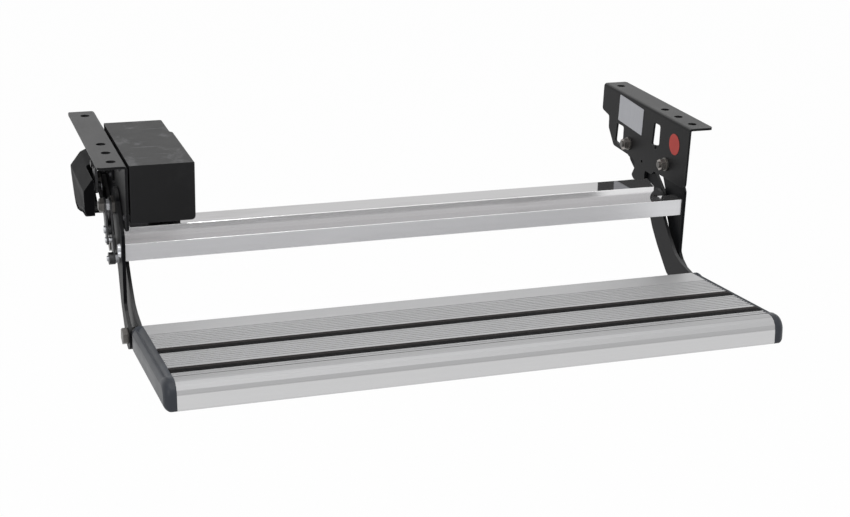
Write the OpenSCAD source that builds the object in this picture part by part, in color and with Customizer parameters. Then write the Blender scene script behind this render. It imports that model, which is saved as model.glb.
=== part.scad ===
// Pull-out entrance step for a caravan: a ribbed aluminium tread on four-bar arms,
// hung from two sheet-metal side brackets and driven by a gearmotor under a plastic cover.
// Lengths are in millimetres. X runs along the tread, -Y is the way the step comes out, Z is up.
// The origin is the centre of the four outer mounting holes, on the top face of the flanges.

/* [Tread] */
// Length of the tread with its end caps
tread_w = 700; // [560:5:860]
// Depth of the tread, rear edge to front face
tread_d = 200; // [190:1:230]
// Height of the tread section
tread_h = 31; // [29:0.5:36]
// Slope of the tread, front edge higher than rear edge, in degrees
tread_tilt = 4.8; // [3:0.1:6]
// Wall of the tread extrusion
tread_wall = 2.5; // [2:0.1:3]
// Radius of the faceted nose
nose_r = 14.5; // [10:0.5:16]
// Distance from one tread rib to the next
rib_pitch = 6; // [5:0.5:8]
// Depth of the grooves between the ribs
rib_depth = 0.9; // [0.5:0.1:1.2]
// Width of the smooth band behind the first rib
smooth_band = 36; // [30:1:44]
// Width of the rubber strips
strip_w = 15; // [12:0.5:17]
// How far the rubber strips stand above the ribs
strip_rise = 0.8; // [0.4:0.1:1.2]
// Rear edge of the tread to the centre of the rear strip
rear_strip_d = 96; // [90:1:100]
// Rear edge of the tread to the centre of the front strip
front_strip_d = 162; // [150:1:166]
// Depth of the long groove in the face of each end cap
cap_groove = 1.5; // [0.5:0.1:2.5]
// Chamfer round the outer face of each end cap
cap_step = 1.8; // [1:0.1:2.5]

/* [Brackets] */
// Sheet thickness of the side brackets
plate_t = 3; // [2.5:0.5:4]
// Height of the side plates
plate_h = 78; // [76:0.5:82]
// Length of the side plates, front to rear
plate_l = 246.5; // [240:0.5:260]
// Width of the mounting flange
flange_w = 32.4; // [29:0.1:36]
// Height of the tail behind the side plate
tail_h = 36; // [30:1:42]
// Depth of the buffer lobe below the side plate
lobe_drop = 26; // [22:0.5:28]
// Plate face to the mounting hole centres
hole_out = 14.7; // [13:0.1:18]
// Diameter of the mounting holes
hole_d = 11; // [9:0.5:12]
// Distance between the front and rear mounting holes
hole_span = 203.6; // [196:0.1:210]
// How far the two middle holes are ahead of the hole pattern's centre
mid_holes = [28.3, 65.2];

/* [Linkage] */
// Rear fixed pivot, behind the centre of the hole pattern
rear_pivot_y = 38.5; // [36:0.5:42]
// Rear fixed pivot, below the flange
rear_pivot_z = 62; // [60:0.5:64]
// Front fixed pivot, ahead of the centre of the hole pattern
front_pivot_y = 68.5; // [66:0.5:70]
// Front fixed pivot, below the flange
front_pivot_z = 60; // [58:0.5:61]
// Tread pivot ahead of the front fixed pivot, step out
reach_y = 67; // [64:0.5:70]
// Tread pivot below the front fixed pivot, step out
reach_z = 133; // [130:0.5:138]
// Coupler pivot, below the flange, step out
coupler_z = 113; // [110:0.5:116]
// Swing of the front arms from step out to step in, in degrees
swing = 85; // [82:0.5:86]
// Thickness of arms, links and carriers
arm_t = 4; // [3:0.5:5]
// Radius of the front arm's upper end
arm_head_r = 20.5; // [18:0.5:22]
// Radius of the front arm's lower end
arm_foot_r = 15.5; // [14:0.5:17]
// Half width of the rear links
link_half = 20; // [17:0.5:21]
// Radius of the rear link's ends
link_end_r = 17.5; // [15:0.5:18]
// Tread pivot behind the tread's rear edge
tread_back = 30; // [28:0.5:33]
// Tread pivot below the tread's top face
tread_drop = 22.5; // [20:0.5:25]
// Length of the carrier's foot inside the end cap
foot_l = 72; // [60:1:90]

/* [Crossbar] */
// Top of the crossbar's tube below the front pivot
bar_drop = 33.3; // [32:0.1:34]
// Front face of the crossbar's tube ahead of the front pivot
bar_ahead = 43.8; // [43:0.1:46]
// Depth of the crossbar's tube
bar_d = 20.8; // [19:0.1:22]
// Height of the crossbar's tube
bar_h = 20; // [18:0.5:20]
// Depth of the shelf behind the tube
shelf_d = 33; // [28:0.5:34]
// Height of the shelf above the tube
shelf_rise = 13.3; // [10:0.1:14]
// Wall of the crossbar extrusion
bar_wall = 2.2; // [1.8:0.1:2.6]
// Set-back of the shelf's right rear corner from the front arm
shelf_inset = 22.5; // [20:0.1:26]
// Extra set-back of the shelf's right front corner
shelf_slant = 8.5; // [4:0.5:14]
// Radius of the notch under the shelf's right front corner
shelf_notch = 8.5; // [6:0.5:10]

/* [Fasteners] */
// Diameter of the shoulder bolts that the arms turn on
shoulder_d = 12; // [10:0.5:13]
// Thread diameter of the pivot bolts
bolt_d = 8; // [6:0.5:9]
// Hexagon of the pivot bolt heads, across flats
head_af = 19; // [17:0.5:20]
// Hexagon of the lock nuts, across flats
nut_af = 13; // [12:0.5:14]
// Outer diameter of the bushes in the arms
bush_d = 16; // [15:0.5:18]
// Diameter of the crossbar and tread screws
screw_d = 5; // [4:0.5:6]
// Depth that these screws reach into the aluminium
screw_bite = 18; // [14:1:24]

/* [Motor] */
// Width of the motor cover
cover_w = 72.5; // [66:0.5:80]
// Height of the motor cover
cover_h = 66.5; // [63:0.5:70]
// Length of the motor cover
cover_l = 186; // [180:1:196]
// Where the motor cover narrows, behind its front face
cover_step = 129; // [120:1:140]
// Rounding of the motor cover's lower edge
cover_round = 5; // [3:0.5:8]
// Wall of the motor cover
cover_wall = 3; // [2.5:0.1:3.5]
// Diameter of the gearbox
gearbox_d = 50; // [44:0.5:52]
// Diameter of the motor
motor_d = 38; // [34:0.5:39]
// Length of the motor
motor_l = 78; // [70:1:84]
// Output shaft below the flange
shaft_z = 30; // [29:0.5:31]
// Output shaft diameter
shaft_d = 12; // [10:0.5:13]
// Crank pin ahead of the output shaft, step out
throw_y = 8; // [6:0.5:10]
// Crank pin below the output shaft, step out
throw_z = 26; // [24:0.5:27]
// Thickness of the drive levers
lever_t = 2; // [1.5:0.1:2]
// Thickness of the drive rod
rod_t = 3; // [2.5:0.1:3]
// Width of the drive rod
rod_w = 9; // [7:0.5:10]

/* [Linkage cover] */
// Outer face of the linkage cover beyond the bracket's side plate
guard_w = 35.5; // [33:0.5:38]
// Lower edge of the linkage cover below the flange
guard_h = 85; // [82:1:92]
// Front edge of the linkage cover ahead of the rear pivot
guard_front = 57.5; // [56:0.5:60]
// Rear edge of the linkage cover behind the rear pivot
guard_rear = 56; // [50:0.5:60]
// Wall of the linkage cover
guard_wall = 2.5; // [2:0.1:3]

/* [Hidden] */
$fn = 48;

// Running clearance on a radius, gap between layers that slide, gap between seated pieces
run_fit = 0.06;
layer_gap = 0.4;
seat_gap = 0.3;
stow_gap = 1.2;

// Layers across the step, from the middle outward: carrier, side plate, arm and link
plate_in = tread_w / 2 - 8.5;
plate_out = plate_in + plate_t;
carrier_out = plate_in - 0.5;
carrier_in = carrier_out - arm_t;
arm_in = plate_out + 0.9;
arm_out = arm_in + arm_t;
head_t = 3.6;
head_in = arm_out + 0.2;
head_out = head_in + head_t;
strap_in = head_out + 0.2;
strap_out = strap_in + lever_t;
rod_in = strap_out + layer_gap;
rod_out = rod_in + rod_t;
lever_in = rod_out + layer_gap;
lever_out = lever_in + lever_t;
end_nut_in = lever_out + 0.2;

// Pivots in the side view, as [y, z], with the step out
rear_pivot = [rear_pivot_y, -rear_pivot_z];
front_pivot = [-front_pivot_y, -front_pivot_z];
tread_pivot = front_pivot + [-reach_y, -reach_z];
tread_rear = tread_pivot + [-tread_back, tread_drop];
// The tread moves by this much from step out to step in
travel = turn(tread_pivot - front_pivot, swing) - (tread_pivot - front_pivot);
// The coupler pivot lies as far from the rear pivot with the step in as with it out
coupler = [
    rear_pivot.x + (-(travel * travel) / 2 - (rear_pivot_z - coupler_z) * travel.y) / travel.x,
    -coupler_z
];
// The output shaft, crank and lever make a parallelogram with the front pivot
shaft = [rear_pivot_y - 39, -shaft_z];
throw = [-throw_y, -throw_z];
crank_end = shaft + throw;
lever_end = front_pivot + throw;
strap_end = front_pivot + 2.2 * throw - [1, 0];
rivet_at = front_pivot + 1.42 * throw - [1.5, 0];

flange_front = -hole_span / 2 - 21.5;
plate_rear = flange_front + plate_l;
cover_out = plate_in - 2;
cover_in = cover_out - cover_w;
bar_front = front_pivot.x - bar_ahead;
bar_rear = bar_front + bar_d;
bar_top = front_pivot.y - bar_drop;
bar_mid = (bar_front + bar_rear) / 2;
screw_rise = [-bar_h / 2 + 6.5, bar_h / 2 - 6.5];
tread_screw_d = [25, 58];
tread_screw_h = tread_h / 2;
strip_depth = 3;

function turn(p, a) = [p.x * cos(a) - p.y * sin(a), p.x * sin(a) + p.y * cos(a)];
function unit(v) = v / norm(v);
// A point at the share s of the way from a to b, set off to the front of that line
function beside(a, b, s, off) = let(d = unit(b - a)) a + (b - a) * s + off * [d.y, -d.x];
// A point on the tread's section, d ahead of its rear edge and h below its top
function on_tread(d, h) = tread_rear + turn([-d, -h], -tread_tilt);
// An outline whose corners, given as [x, y, radius], are rounded
function rounded(p, facet = 15) = [
    for (i = [0:len(p) - 1])
        let(
            before = p[(i + len(p) - 1) % len(p)],
            after = p[(i + 1) % len(p)],
            here = [p[i].x, p[i].y],
            r = p[i].z
        )
        each r == 0 ? [here] : corner([before.x, before.y], here, [after.x, after.y], r, facet)
];
function corner(p, q, s, r, facet) =
    let(
        a = unit(p - q),
        b = unit(s - q),
        half = acos(a * b) / 2,
        middle = q + unit(a + b) * r / sin(half),
        from = q + a * r / tan(half) - middle,
        way = cross(b, a) > 0 ? 1 : -1,
        sweep = way * (180 - 2 * half),
        n = max(2, round(abs(sweep) / facet))
    )
    [for (i = [0:n]) middle + turn(from, sweep * i / n)];

// Side-view outlines, extruded along X between two distances from the middle
module layer(from, to) {
    translate([from, 0, 0]) rotate([90, 0, 90]) linear_extrude(to - from) children();
}
module rod(from, to, at, r) {
    translate([from, at.x, at.y]) rotate([0, 90, 0]) cylinder(h = to - from, r = r);
}
module hexagon(from, to, at, af) {
    translate([from, at.x, at.y]) rotate([0, 90, 0])
        cylinder(h = to - from, r = af / 2 / cos(30), $fn = 6);
}
module disc(at, r) {
    translate(at) circle(r);
}
module on_left() {
    mirror([1, 0, 0]) children();
}
module both_sides() {
    children();
    on_left() children();
}
module in_tread() {
    translate([0, tread_rear.x, tread_rear.y]) rotate([-tread_tilt, 0, 0]) children();
}

// Side bracket: one folded sheet with a flange on top and a side plate with two windows
module bracket_outline() {
    rear = plate_rear;
    low = -plate_h;
    polygon(rounded([
        [flange_front, 0, 0],
        [rear, 0, 0],
        [rear + 1, -tail_h, 4],
        [rear - 21, -tail_h - 4, 3],
        [rear - 22, low + 22, 5],
        [rear - 40, low + 2, 6],
        [27, low + 1, 4],
        [18, low - 1.5, 4],
        [17, low - lobe_drop + 15, 6],
        [24, low - lobe_drop + 4, 2.5],
        [17.5, low - lobe_drop, 2],
        [-13, low - lobe_drop, 3],
        [-13, low - 6, 2],
        [-31, low - 6, 2],
        [-39, low, 3],
        [flange_front + 2, low + 1, 7]
    ]));
}
module windows() {
    polygon(rounded([
        [56, -43.5, 3],
        [77, -43.5, 3],
        [79.5, -69, 3],
        [66, -70.5, 2],
        [56, -61, 2]
    ]));
    polygon(rounded([
        [-47, -15.5, 3],
        [-29, -15.5, 3],
        [-26, -45.5, 2],
        [-34, -44.5, 1.5],
        [-47, -41, 3]
    ]));
    disc([-38, -47], 2.8);
    translate([-40.8, -47]) square([5.6, 6]);
}
module bracket() {
    profile = [
        [plate_in, 0, plate_t + 1],
        [plate_in + flange_w, 0, 0],
        [plate_in + flange_w, -plate_t, 0],
        [plate_out, -plate_t, 1],
        [plate_out, -plate_h - lobe_drop - 1, 0],
        [plate_in, -plate_h - lobe_drop - 1, 0]
    ];
    difference() {
        intersection() {
            translate([0, plate_rear + 2, 0]) rotate([90, 0, 0])
                linear_extrude(plate_l + 4) polygon(rounded(profile));
            layer(plate_in - 1, plate_in + flange_w + 1) bracket_outline();
            translate([plate_in - 1, flange_front, -plate_h - lobe_drop - 2])
                linear_extrude(plate_h + lobe_drop + 3) polygon(rounded([
                    [0, 0, 0],
                    [flange_w + 1, 0, 5],
                    [flange_w + 1, plate_l + 1, 5],
                    [0, plate_l + 1, 0]
                ]));
        }
        layer(plate_in - 1, plate_out + 1) windows();
        for (y = [-hole_span / 2, -mid_holes[1], -mid_holes[0], hole_span / 2])
            translate([plate_in + hole_out, y, -plate_t - 1])
                cylinder(h = plate_t + 2, r = hole_d / 2);
        for (p = [rear_pivot, front_pivot])
            rod(plate_in - 1, plate_out + 1, p, bolt_d / 2 + run_fit);
        rod(plate_in - 1, plate_out + 1, [-2.5, -plate_h + 3], 2.4);
    }
}
module bracket_right() {
    color("dimgray") bracket();
}
module bracket_left() {
    color("dimgray") on_left() difference() {
        bracket();
        rod(plate_in - 1, plate_out + 1, shaft, shaft_d / 2 + 1);
        for (p = concat(cover_screw_at, gearbox_screw_at, guard_screw_at))
            rod(plate_in - 1, plate_out + 1, p, 2.1);
    }
}

// Motor cover: a moulded box, open below and notched over the pivot nuts and the crossbar
cover_front = flange_front + 0.3;
cover_screw_at = [[-115.5, -61], [-88, -12], [30, -12]];
module cover_plan(inset) {
    step_y = cover_front + cover_step;
    polygon(rounded([
        [cover_in + inset, cover_front + inset, 2.5],
        [cover_out - inset, cover_front + inset, 1],
        [cover_out - inset, cover_front + cover_l - inset, 1],
        [cover_in + 4 + inset, cover_front + cover_l - inset, 2.5],
        [cover_in + 4 + inset, step_y + 3, 1],
        [cover_in + inset, step_y - 2, 1]
    ]));
}
module motor_cover() {
    color("#26272a") on_left() difference() {
        union() {
            intersection() {
                difference() {
                    translate([0, 0, -cover_h]) linear_extrude(cover_h) cover_plan(0);
                    translate([0, 0, -cover_h - 1])
                        linear_extrude(cover_h + 1 - cover_wall) cover_plan(cover_wall);
                }
                translate([0, cover_front + cover_l + 1, 0]) rotate([90, 0, 0])
                    linear_extrude(cover_l + 2) polygon(rounded([
                        [cover_out + 1, 0, 0],
                        [cover_in, 0, 2],
                        [cover_in, -cover_h, cover_round],
                        [cover_out + 1, -cover_h, 0]
                    ]));
            }
            for (p = cover_screw_at)
                rod(cover_out - cover_wall, plate_in, p, 4.5);
        }
        for (p = [rear_pivot, front_pivot]) {
            rod(cover_out - cover_wall - 1, cover_out + 1, p, 10);
            translate([cover_out - cover_wall - 1, p.x - 10, -cover_h - 1])
                cube([cover_wall + 2, 20, cover_h + 1 + p.y]);
        }
        rod(cover_out - cover_wall - 1, cover_out + 1, shaft, gearbox_d / 2 + 1);
        rod(cover_in - 1, cover_in + cover_wall + 2, front_pivot + [14, 0], 28);
        for (p = cover_screw_at)
            rod(cover_out - cover_wall - 1, plate_in + 1, p, 1.6);
    }
}
module screw(under_head, length, at, d, head_r, head_h) {
    rod(under_head - length, under_head, at, d / 2);
    translate([under_head, at.x, at.y]) rotate([0, 90, 0])
        cylinder(h = head_h, r1 = head_r, r2 = head_r * 0.7);
}
module cover_screws() {
    color("silver") on_left()
        for (p = cover_screw_at) screw(plate_out, plate_t + 4, p, 3, 3.8, 2.2);
}

// Gearmotor: a flat gearbox on the output shaft and a motor lying along the bracket
gearbox_in = plate_in - 40;
gearbox_screw_at = [for (a = [90, 210, 330]) shaft + 19 * [cos(a), sin(a)]];
motor_x = plate_in - 6 - motor_d / 2;
motor_z = -cover_wall - 5 - motor_d / 2;
module gearbox() {
    color("darkgray") on_left() difference() {
        union() {
            rod(gearbox_in, plate_in - 4, shaft, gearbox_d / 2);
            for (p = gearbox_screw_at) rod(plate_in - 4, plate_in, p, 4.5);
            translate([motor_x, shaft.x, motor_z]) rotate([90, 0, 0])
                cylinder(h = gearbox_d / 2 + 6, r = motor_d / 2 - 2);
        }
        rod(plate_in - 20, plate_in, shaft, shaft_d / 2 + run_fit);
        for (p = gearbox_screw_at) rod(plate_in - 12, plate_in + 1, p, 2.1);
    }
}
module motor_can() {
    back = shaft.x - gearbox_d / 2 - 6;
    color("silver") on_left() translate([motor_x, back, motor_z]) rotate([90, 0, 0]) {
        cylinder(h = motor_l - 6, r = motor_d / 2);
        translate([0, 0, motor_l - 6]) cylinder(h = 2, r1 = motor_d / 2, r2 = motor_d / 2 - 2);
        translate([0, 0, motor_l - 4]) cylinder(h = 4, r = 7);
    }
}
module gearbox_screws() {
    color("silver") on_left()
        for (p = gearbox_screw_at) screw(plate_out, plate_t + 8, p, 4, 3.8, 2.2);
}
module shaft_bearing() {
    color("darkgray") on_left() difference() {
        union() {
            rod(plate_out, plate_out + 2, shaft, 14);
            rod(plate_out, plate_out + 6, shaft, 11);
        }
        rod(plate_out - 1, plate_out + 7, shaft, shaft_d / 2 + run_fit);
    }
}

// Linkage cover: a moulded shell outside the left bracket, open in front beside the levers
guard_top = link_half + 15;
guard_screw_at = [rear_pivot + [13, 41], rear_pivot + [46, 41]];
module guard_section(inset) {
    side = plate_out + guard_w - 3;
    polygon(rounded([
        [arm_in + inset, -guard_top - inset, 0],
        [arm_out + 1, -guard_top - inset, 0],
        [side - 12, -guard_top - 7 - inset, 3],
        [side - inset, -58 - inset / 2, 3],
        [side - 2 - inset, -guard_h + 7, 4],
        [side - 6, -guard_h + inset, 3],
        [arm_out + 0.9, -guard_h + inset, 0],
        [arm_out + 0.9, -60, 0],
        [arm_in + inset, -60, 0]
    ]));
}
module linkage_cover() {
    front = rear_pivot.x - guard_front;
    rear = rear_pivot.x + guard_rear;
    shelf = -guard_top - guard_wall;
    crank_rear = shaft.x + turn(throw, swing).x + 9;
    strap_rear = front_pivot.x + turn(strap_end - front_pivot, swing).x + 9;
    bay = lever_out + 3.3 - plate_out;
    color("#26272a") on_left() difference() {
        union() {
            difference() {
                translate([0, rear, 0]) rotate([90, 0, 0])
                    linear_extrude(rear - front) guard_section(0);
                translate([0, rear - guard_wall, 0]) rotate([90, 0, 0])
                    linear_extrude(rear - front - 2 * guard_wall) guard_section(guard_wall);
                translate([plate_out, front - 1, -guard_h - 1])
                    cube([arm_out + 0.9 - plate_out, rear - front + 2, guard_h + 1 + shelf]);
            }
            for (p = guard_screw_at)
                translate([plate_out, p.x - 10, shelf]) cube([guard_wall, 20, -shelf - 6 - plate_t]);
            translate([plate_out, front, shelf])
                cube([arm_in + 1 - plate_out, rear - front, guard_wall]);
        }
        translate([plate_out - 1, front - 1, shelf - 8])
            cube([lever_out + 6 - plate_out, crank_rear - front + 1, 30]);
        translate([plate_out - 1, front - 1, -guard_h - 1])
            cube([bay + 1, guard_wall + 2, guard_h + 1]);
        translate([plate_out - 1, front - 1, -guard_h - 1])
            cube([bay + 1, strap_rear - front + 1, guard_wall + 2]);
        for (p = guard_screw_at) rod(plate_out - 1, plate_out + guard_wall + 1, p, 2.1);
    }
}
module guard_screws() {
    color("silver") on_left()
        for (p = guard_screw_at) screw(plate_out + guard_wall, plate_t + 4, p, 4, 3.8, 2.2);
}

// Fixed pivots: shoulder bolts with their nuts and washers inside the side plates
module pivot_bolt(at) {
    hexagon(head_in, head_out, at, head_af);
    rod(plate_out, head_in, at, shoulder_d / 2);
    rod(plate_in - 11, plate_out, at, bolt_d / 2);
}
module pivot_bolts() {
    color("lightslategray") {
        both_sides() pivot_bolt(rear_pivot);
        pivot_bolt(front_pivot);
    }
}
module drive_pivot_bolt() {
    color("lightslategray") on_left() {
        pivot_bolt(front_pivot);
        rod(head_out, end_nut_in + 6, front_pivot, 5);
        hexagon(end_nut_in, end_nut_in + 4.6, front_pivot, nut_af + 2);
    }
}
module pivot_nuts() {
    color("silver") both_sides() for (p = [rear_pivot, front_pivot]) difference() {
        hexagon(plate_in - 8.8, plate_in - 2, p, nut_af);
        rod(plate_in - 10, plate_in, p, bolt_d / 2);
    }
}
module ring(from, to, at, outer, inner) {
    difference() {
        rod(from, to, at, outer);
        rod(from - 1, to + 1, at, inner);
    }
}
module pivot_washers() {
    color("silver") both_sides()
        for (p = [rear_pivot, front_pivot]) ring(plate_in - 2, plate_in, p, 8.5, bolt_d / 2);
}
module thrust_washers() {
    color("ivory") both_sides() for (p = [rear_pivot, front_pivot])
        ring(plate_out, plate_out + 0.7, p, 11, shoulder_d / 2 + run_fit);
}

// Front arm: its front edge lies along the tread's top when the step is in
module front_arm(drilled = []) {
    function at(s, off) = beside(front_pivot, tread_pivot, s, off);
    sill = tread_pivot + turn([-tread_back, tread_drop + stow_gap], -swing);
    edge = turn([-cos(tread_tilt), sin(tread_tilt)], -swing);
    brow = sill + 78 * edge;
    difference() {
        layer(arm_in, arm_out) {
            disc(front_pivot, arm_head_r);
            disc(tread_pivot, arm_foot_r);
            polygon(rounded([
                [at(-0.04, 19).x, at(-0.04, 19).y, 0],
                [brow.x + 3, brow.y + 4, 6],
                [brow.x, brow.y, 4],
                [sill.x, sill.y, 6],
                [sill.x - 7, sill.y - 8, 6],
                [at(0.98, 15).x, at(0.98, 15).y, 0],
                [at(1.02, -15).x, at(1.02, -15).y, 0],
                [at(0.73, -24.5).x, at(0.73, -24.5).y, 25],
                [at(0.49, -22.1).x, at(0.49, -22.1).y, 25],
                [at(0.41, -23.4).x, at(0.41, -23.4).y, 8],
                [at(0.21, -17.3).x, at(0.21, -17.3).y, 30],
                [at(0.06, -19).x, at(0.06, -19).y, 0]
            ]));
        }
        for (p = [front_pivot, tread_pivot])
            rod(arm_in - 1, arm_out + 1, p, bush_d / 2);
        for (h = screw_rise)
            rod(arm_in - 1, arm_out + 1, [bar_mid, bar_top - bar_h / 2 + h], screw_d / 2 + 0.2);
        for (p = drilled) rod(arm_in - 1, arm_out + 1, p, 3.1);
    }
}
module front_arm_right() {
    color("#303134") front_arm();
}
module front_arm_left() {
    color("#303134") on_left() front_arm([strap_end]);
}
module bush(at) {
    ring(arm_in, arm_out, at, bush_d / 2, shoulder_d / 2 + run_fit);
}
module front_arm_bushes() {
    color("goldenrod") both_sides() bush(front_pivot);
}
module tread_pivot_bushes() {
    color("goldenrod") both_sides() bush(tread_pivot);
}

// Crossbar: a stepped two-chamber extrusion that ties the front arms together
module crossbar() {
    low = bar_top - bar_h;
    ports = [for (h = screw_rise) [bar_mid, bar_top - bar_h / 2 + h]];
    shelf_front = bar_rear - bar_wall;
    shelf_rear = shelf_front + shelf_d + bar_wall;
    shelf_left = cover_out - cover_wall - 0.5;
    shelf_right = arm_in - shelf_inset;
    color("gainsboro") difference() {
        union() {
            layer(-arm_in, arm_in) difference() {
                translate([bar_front, low]) square([bar_d, bar_h]);
                difference() {
                    translate([bar_front + bar_wall, low + bar_wall])
                        square([bar_d - 2 * bar_wall, bar_h - 2 * bar_wall]);
                    for (p = ports) disc(p, screw_d / 2 + 1.8);
                    translate([bar_mid - 1, low]) square([2, bar_h]);
                }
            }
            layer(-arm_in, 0)
                translate([shelf_front, bar_top - bar_wall]) square([bar_wall, shelf_rise + bar_wall]);
            intersection() {
                difference() {
                    layer(-shelf_left, shelf_right) difference() {
                        translate([shelf_front, bar_top - bar_wall])
                            square([shelf_rear - shelf_front, shelf_rise + bar_wall]);
                        translate([shelf_front + bar_wall, bar_top])
                            square([shelf_rear - shelf_front - 2 * bar_wall, shelf_rise - bar_wall]);
                    }
                    translate([shelf_right - shelf_slant + shelf_notch / 2, shelf_front - 1, bar_top])
                        rotate([-90, 0, 0]) cylinder(h = bar_wall + 2, r = shelf_notch);
                }
                translate([0, 0, low]) linear_extrude(bar_h + shelf_rise + 1) polygon([
                    [-shelf_left, shelf_front - 1],
                    [shelf_right - shelf_slant, shelf_front - 1],
                    [shelf_right, shelf_rear + 1],
                    [-shelf_left, shelf_rear + 1]
                ]);
            }
        }
        for (p = ports, side = [-1, 1])
            rod(side > 0 ? arm_in - screw_bite - 2 : -arm_in - 1,
                side > 0 ? arm_in + 1 : -arm_in + screw_bite + 2,
                p, screw_d / 2 + run_fit);
    }
}
module crossbar_screws() {
    color("silver") both_sides() for (h = screw_rise)
        screw(arm_out, arm_t + screw_bite, [bar_mid, bar_top - bar_h / 2 + h], screw_d, 4.8, 2.8);
}

// Drive levers on the left arm: a strap and a short lever make a fork for the drive rod
module bar_2d(from, to, r1, r2) {
    disc(from, r1);
    disc(to, r2);
    n = unit([(to - from).y, -(to - from).x]);
    polygon([from + r1 * n, to + r2 * n, to - r2 * n, from - r1 * n]);
}
module lever_strap() {
    color("#3a3b3e") on_left() difference() {
        layer(strap_in, strap_out) bar_2d(front_pivot, strap_end, 9, 7);
        rod(strap_in - 1, strap_out + 1, front_pivot, 5 + run_fit);
        rod(strap_in - 1, strap_out + 1, lever_end, 3);
        rod(strap_in - 1, strap_out + 1, rivet_at, 2);
        rod(strap_in - 1, strap_out + 1, strap_end, 3);
    }
}
module drive_lever() {
    color("#3a3b3e") on_left() difference() {
        layer(lever_in, lever_out) bar_2d(front_pivot, rivet_at, 9, 5.5);
        rod(lever_in - 1, lever_out + 1, front_pivot, 5 + run_fit);
        rod(lever_in - 1, lever_out + 1, lever_end, 3);
        rod(lever_in - 1, lever_out + 1, rivet_at, 2);
    }
}
module lever_spacer() {
    color("silver") on_left() difference() {
        hexagon(strap_out, lever_in, front_pivot, nut_af);
        rod(strap_out - 1, lever_in + 1, front_pivot, 5 + run_fit);
    }
}
module lever_pin() {
    color("silver") on_left() {
        rod(strap_in, lever_out, lever_end, 3);
        rod(lever_out, lever_out + 2, lever_end, 4.5);
    }
}
module lever_rivet() {
    color("silver") on_left() {
        rod(strap_in, lever_out, rivet_at, 2);
        rod(strap_out, lever_in, rivet_at, 2.8);
        rod(lever_out, lever_out + 1.5, rivet_at, 3.5);
    }
}
module strap_bolt() {
    color("silver") on_left() {
        rod(arm_in, strap_out, strap_end, 3);
        rod(arm_out, strap_in, strap_end, 6);
        rod(strap_out, strap_out + 7, strap_end, 3);
    }
}
module strap_knob() {
    color("#3a3b3e") on_left() ring(strap_out, strap_out + 5, strap_end, 7, 3);
}

// Carrier: a banana-shaped arm that holds one end of the tread
module carrier() {
    function at(s, off) = beside(coupler, tread_pivot, s, off);
    crown = coupler + [-8, -1];
    crown_r = 19.5;
    difference() {
        layer(carrier_in, carrier_out) {
            disc(crown, crown_r);
            disc(tread_pivot, arm_foot_r - 0.5);
            polygon(rounded([
                [crown.x - crown_r, crown.y + 1, 0],
                [at(0.25, 12.1).x, at(0.25, 12.1).y, 12],
                [at(0.49, 10.2).x, at(0.49, 10.2).y, 60],
                [at(0.71, 11.3).x, at(0.71, 11.3).y, 30],
                [on_tread(-30, -5.5).x, on_tread(-30, -5.5).y, 20],
                [on_tread(-6, 0.4).x, on_tread(-6, 0.4).y, 4],
                [on_tread(1, 3).x, on_tread(1, 3).y, 0],
                [on_tread(foot_l, 3).x, on_tread(foot_l, 3).y, 3],
                [on_tread(foot_l, tread_h - 4).x, on_tread(foot_l, tread_h - 4).y, 6],
                [on_tread(0, tread_h - 3.5).x, on_tread(0, tread_h - 3.5).y, 0],
                [tread_pivot.x, tread_pivot.y - arm_foot_r + 0.6, 0],
                [at(0.94, -14.5).x, at(0.94, -14.5).y, 8],
                [at(0.8, -23.5).x, at(0.8, -23.5).y, 25],
                [at(0.44, -24.6).x, at(0.44, -24.6).y, 60],
                [at(0.23, -23.3).x, at(0.23, -23.3).y, 30],
                [at(0.11, -20.4).x, at(0.11, -20.4).y, 12],
                [crown.x + crown_r, crown.y - 1, 0]
            ]));
        }
        rod(carrier_in - 1, carrier_out + 1, coupler, bolt_d / 2 + run_fit);
        rod(carrier_in - 1, carrier_out + 1, tread_pivot, bolt_d / 2 + run_fit);
        in_tread() for (d = tread_screw_d)
            rod(carrier_in - 1, carrier_out + 1, [-d, -tread_screw_h], screw_d / 2 + 0.3);
    }
}
module carrier_right() {
    color("#2b2c2f") carrier();
}
module carrier_left() {
    color("#2b2c2f") on_left() carrier();
}

// Tread: one hollow extrusion with a ribbed top, two strip channels and a faceted nose
function tread_outline(inset) = rounded([
    [-inset, -inset, 1],
    [-tread_d + inset, -inset, nose_r - inset],
    [-tread_d + inset, -tread_h + inset, 2.5],
    [-inset, -tread_h + inset, 1.5]
], 22.5);
function near_strip(d) =
    abs(d - rear_strip_d) < strip_w / 2 + 4 || abs(d - front_strip_d) < strip_w / 2 + 4;
module channel(d) {
    translate([-d - strip_w / 2, -strip_depth]) square([strip_w, strip_depth + 1]);
    translate([-d - strip_w / 2 - 1.5, -strip_depth]) square([strip_w + 3, strip_depth / 2]);
}
module tread_chambers() {
    half = strip_w / 2 + 4;
    webs = [
        tread_wall / 2, tread_screw_d[0], tread_screw_d[1],
        rear_strip_d - half, rear_strip_d + half, (rear_strip_d + front_strip_d) / 2,
        front_strip_d - half, front_strip_d + half, tread_d - tread_wall / 2
    ];
    for (i = [0:len(webs) - 2]) {
        low = tread_h - tread_wall;
        under_strip = i == 3 || i == 6;
        top = i == len(webs) - 2 ? nose_r * 0.75
            : under_strip ? strip_depth + tread_wall
            : rib_depth + tread_wall;
        translate([-webs[i + 1] + tread_wall / 2, -low])
            square([webs[i + 1] - webs[i] - tread_wall, low - top]);
    }
}
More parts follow.
